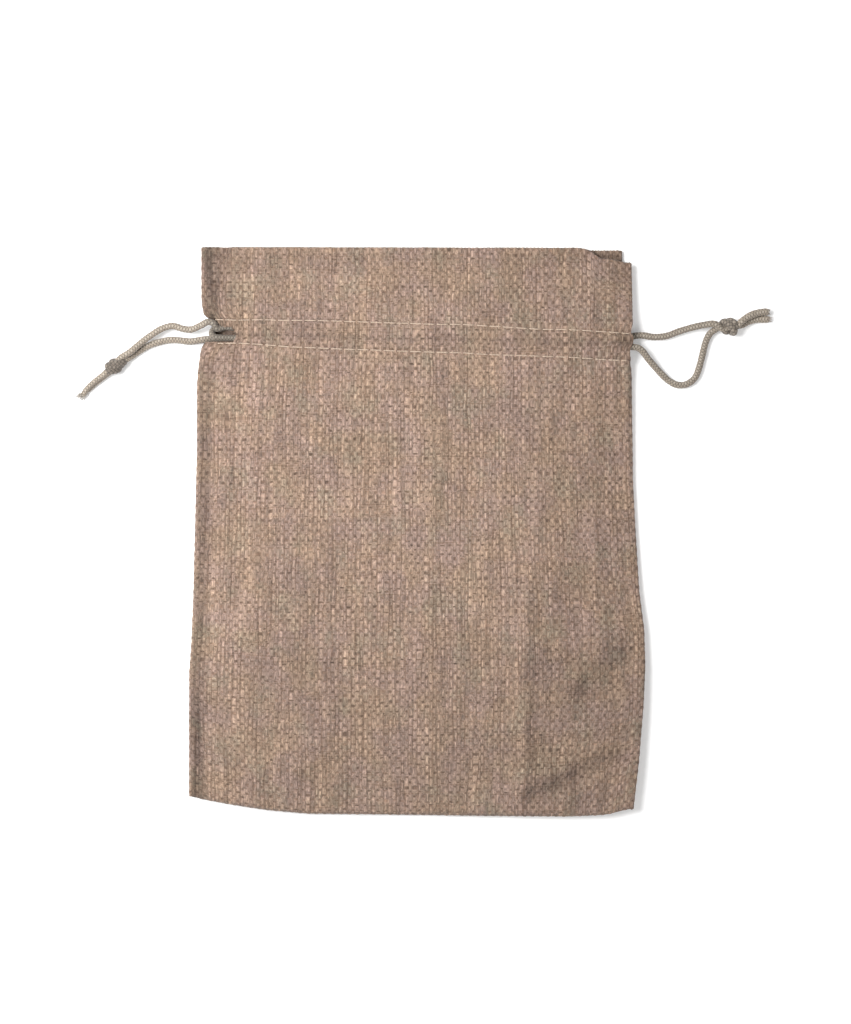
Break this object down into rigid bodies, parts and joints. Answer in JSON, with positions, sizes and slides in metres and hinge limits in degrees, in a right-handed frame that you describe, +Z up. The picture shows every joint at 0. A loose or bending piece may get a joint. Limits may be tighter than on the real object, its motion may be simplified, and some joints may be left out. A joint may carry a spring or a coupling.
{
  "type": "drawstring pouch",
  "caption": "Flat drawstring pouch of coarse linen-look weave with a stitched cord tunnel below the mouth and knotted braided drawcords on both sides.",
  "frame": {"origin": "bottom centre of the box round the whole object, pouch and drawcords, as it lies flat on its back", "axes": "+X across the pouch towards the right drawcord's knot, +Y from the bottom seam to the mouth, +Z up out of the front panel"},
  "size_m": [0.1586, 0.1293, 0.0063],
  "materials": {
    "linen_weave": "matt coarse plain weave with slubs, taupe brown",
    "braided_cord": "round braided polyester cord, grey-taupe, slight sheen",
    "sewing_thread": "cream sewing thread, slight sheen"
  },
  "bodies": {
    "root": {"front_panel": "linen_weave", "back_panel": "linen_weave", "front_turned_hem": "linen_weave", "back_turned_hem": "linen_weave", "front_upper_tunnel_stitch": "sewing_thread", "front_lower_tunnel_stitch": "sewing_thread", "back_upper_tunnel_stitch": "sewing_thread", "back_lower_tunnel_stitch": "sewing_thread", "left_side_seam_stitch": "sewing_thread", "right_side_seam_stitch": "sewing_thread", "bottom_seam_stitch": "sewing_thread"},
    "left_cord": {"left_drawcord": "braided_cord"},
    "right_cord": {"right_drawcord": "braided_cord"}
  },
  "joints": [
    {"name": "left_cord_pull", "type": "slide", "parent": "root", "child": "left_cord", "axis": [-0.9998, 0.0218, 0], "range_m": [0, 0.038], "deforming": ["front_turned_hem", "back_turned_hem"]},
    {"name": "right_cord_pull", "type": "slide", "parent": "root", "child": "right_cord", "axis": [0.9998, -0.0218, 0], "range_m": [0, 0.038], "deforming": ["front_turned_hem", "back_turned_hem"]}
  ]
}
